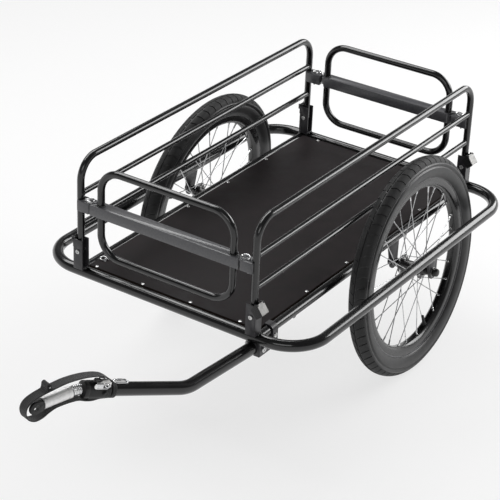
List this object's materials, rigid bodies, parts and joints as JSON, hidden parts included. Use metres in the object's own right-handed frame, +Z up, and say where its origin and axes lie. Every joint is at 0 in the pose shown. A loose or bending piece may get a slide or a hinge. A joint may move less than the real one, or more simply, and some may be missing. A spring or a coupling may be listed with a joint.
{
  "type": "bike cargo trailer",
  "caption": "Open tube-frame bicycle cargo trailer with spoked wheels, folding side panels, lift-out end gates and a sprung axle hitch.",
  "frame": {"origin": "on the ground, under the middle of the whole trailer", "axes": "+Z up, -Y towards the hitch and the towing bicycle, +X the trailer's left side, which carries the tow arm"},
  "size_m": [0.699, 1.4379, 0.578],
  "materials": {
    "black_paint": "gloss black powder coat on steel tube",
    "black_steel": "satin black coated steel",
    "latch_steel": "dark satin metal",
    "deck_board": "matt dark brown faced plywood",
    "tyre_rubber": "matt rubber",
    "rim_black": "satin black anodised",
    "spoke_steel": "black hub shell with bright stainless spokes",
    "zinc_steel": "bright zinc plate",
    "webbing": "matt woven webbing"
  },
  "bodies": {
    "frame": {"bumper_tube": "black_paint", "front_cross_tube": "black_paint", "middle_cross_tube": "black_paint", "rear_cross_tube": "black_paint", "tow_arm": "black_paint", "tow_arm_receiver": "black_paint", "deck_panel": "deck_board", "left_side_rail": "black_paint", "left_inner_axle_plate": "black_paint", "left_outer_axle_plate": "black_paint", "left_axle": "zinc_steel", "front_left_hinge_bracket": "black_paint", "front_left_hinge_rivet": "zinc_steel", "rear_left_hinge_bracket": "black_paint", "rear_left_hinge_rivet": "zinc_steel", "right_side_rail": "black_paint", "right_inner_axle_plate": "black_paint", "right_outer_axle_plate": "black_paint", "right_axle": "zinc_steel", "front_right_hinge_bracket": "black_paint", "front_right_hinge_rivet": "zinc_steel", "rear_right_hinge_bracket": "black_paint", "rear_right_hinge_rivet": "zinc_steel", "hitch_socket": "black_steel", "hitch_spring": "zinc_steel", "snap_hook": "zinc_steel", "receiver_bolt": "zinc_steel", "safety_strap": "webbing"},
    "left_wheel": {"left_tyre": "tyre_rubber", "left_rim": "rim_black", "left_hub_and_spokes": "spoke_steel"},
    "left_panel": {"left_panel_hoop": "black_paint", "left_lower_mid_rail": "black_paint", "left_upper_mid_rail": "black_paint", "front_left_gate_knuckle": "black_paint", "rear_left_gate_knuckle": "black_paint"},
    "right_wheel": {"right_tyre": "tyre_rubber", "right_rim": "rim_black", "right_hub_and_spokes": "spoke_steel"},
    "right_panel": {"right_panel_hoop": "black_paint", "right_lower_mid_rail": "black_paint", "right_upper_mid_rail": "black_paint", "front_right_gate_knuckle": "black_paint", "rear_right_gate_knuckle": "black_paint"},
    "front_gate": {"front_gate_loop": "black_paint", "front_gate_crossbar": "black_paint"},
    "rear_gate": {"rear_gate_loop": "black_paint", "rear_gate_crossbar": "black_paint"},
    "front_left_lock_pin": {"front_left_gate_pin": "zinc_steel"},
    "front_left_latch": {"front_left_latch_lever": "latch_steel"},
    "front_right_lock_pin": {"front_right_gate_pin": "zinc_steel"},
    "front_right_latch": {"front_right_latch_lever": "latch_steel"},
    "rear_left_lock_pin": {"rear_left_gate_pin": "zinc_steel"},
    "rear_left_latch": {"rear_left_latch_lever": "latch_steel"},
    "rear_right_lock_pin": {"rear_right_gate_pin": "zinc_steel"},
    "rear_right_latch": {"rear_right_latch_lever": "latch_steel"},
    "coupler": {"coupler_sleeve": "zinc_steel", "axle_bracket": "black_steel", "strap_loop": "webbing"},
    "pull_pin": {"hitch_pin": "zinc_steel"}
  },
  "joints": [
    {"name": "left_wheel_spin", "type": "hinge", "parent": "frame", "child": "left_wheel", "pos_m": [0.28275, 0.36795, 0.25332], "axis": [0.9973, 0, 0.0732], "continuous": true},
    {"name": "right_wheel_spin", "type": "hinge", "parent": "frame", "child": "right_wheel", "pos_m": [-0.28275, 0.36795, 0.25332], "axis": [-0.9973, 0, 0.0732], "continuous": true},
    {"name": "left_panel_fold", "type": "hinge", "parent": "frame", "child": "left_panel", "pos_m": [0.2215, 0, 0.36], "axis": [0, -1, 0], "range_deg": [0, 90]},
    {"name": "right_panel_fold", "type": "hinge", "parent": "frame", "child": "right_panel", "pos_m": [-0.2215, 0, 0.36], "axis": [0, 1, 0], "range_deg": [0, 90]},
    {"name": "front_gate_off", "type": "slide", "parent": "frame", "child": "front_gate", "axis": [0, -1, 0], "range_m": [0, 0.3]},
    {"name": "rear_gate_off", "type": "slide", "parent": "frame", "child": "rear_gate", "axis": [0, 1, 0], "range_m": [0, 0.3]},
    {"name": "front_left_pin_pull", "type": "slide", "parent": "left_panel", "child": "front_left_lock_pin", "axis": [0, 0, 1], "range_m": [0, 0.022]},
    {"name": "front_right_pin_pull", "type": "slide", "parent": "right_panel", "child": "front_right_lock_pin", "axis": [0, 0, 1], "range_m": [0, 0.022]},
    {"name": "rear_left_pin_pull", "type": "slide", "parent": "left_panel", "child": "rear_left_lock_pin", "axis": [0, 0, 1], "range_m": [0, 0.022]},
    {"name": "rear_right_pin_pull", "type": "slide", "parent": "right_panel", "child": "rear_right_lock_pin", "axis": [0, 0, 1], "range_m": [0, 0.022]},
    {"name": "front_left_latch_swing", "type": "hinge", "parent": "frame", "child": "front_left_latch", "pos_m": [0.2337, -0.18255, 0.3885], "axis": [0, -1, 0], "range_deg": [0, 45]},
    {"name": "front_right_latch_swing", "type": "hinge", "parent": "frame", "child": "front_right_latch", "pos_m": [-0.2337, -0.18255, 0.3885], "axis": [0, 1, 0], "range_deg": [0, 45]},
    {"name": "rear_left_latch_swing", "type": "hinge", "parent": "frame", "child": "rear_left_latch", "pos_m": [0.2337, 0.70045, 0.3885], "axis": [0, -1, 0], "range_deg": [0, 45]},
    {"name": "rear_right_latch_swing", "type": "hinge", "parent": "frame", "child": "rear_right_latch", "pos_m": [-0.2337, 0.70045, 0.3885], "axis": [0, 1, 0], "range_deg": [0, 45]},
    {"name": "hitch_flex", "type": "hinge", "parent": "frame", "child": "coupler", "pos_m": [0.10269, -0.59925, 0.34845], "axis": [0, 0, 1], "range_deg": [-30, 30], "stiffness_Nm_per_rad": 8, "deforming": ["hitch_spring", "safety_strap"]},
    {"name": "hitch_pin_pull", "type": "slide", "parent": "frame", "child": "pull_pin", "axis": [0.9106, -0.4133, 0], "range_m": [0, 0.045]}
  ],
  "couplings": [
    {"joint": "right_panel_fold", "follows": "left_panel_fold", "ratio": 1},
    {"joint": "front_gate_off", "follows": "left_panel_fold", "m_per_rad": 0.19},
    {"joint": "rear_gate_off", "follows": "left_panel_fold", "m_per_rad": 0.19}
  ]
}
